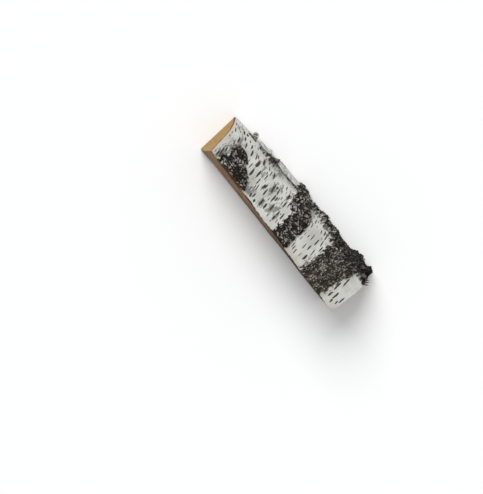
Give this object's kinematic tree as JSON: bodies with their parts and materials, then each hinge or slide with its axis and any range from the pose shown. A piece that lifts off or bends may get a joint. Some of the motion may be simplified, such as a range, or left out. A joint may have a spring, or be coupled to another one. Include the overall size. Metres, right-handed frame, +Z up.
{
  "type": "birch firewood",
  "caption": "Quarter-split billet of birch firewood with white and black fissured bark, lying on its wider split face.",
  "frame": {"origin": "on the floor, under the middle of the bounding box", "axes": "+X along the trunk from the slim sawn end to the butt, +Z up from the split face that the billet lies on, +Y from the pith edge towards the bark"},
  "size_m": [0.3371, 0.0991, 0.091],
  "materials": {
    "birch_wood": "dry, matt: golden ochre sawn ends and torn, darker split faces",
    "birch_bark": "papery white with dark pores, and black fissured crust with grey crests"
  },
  "bodies": {
    "root": {"wood": "birch_wood", "bark": "birch_bark"}
  },
  "joints": []
}
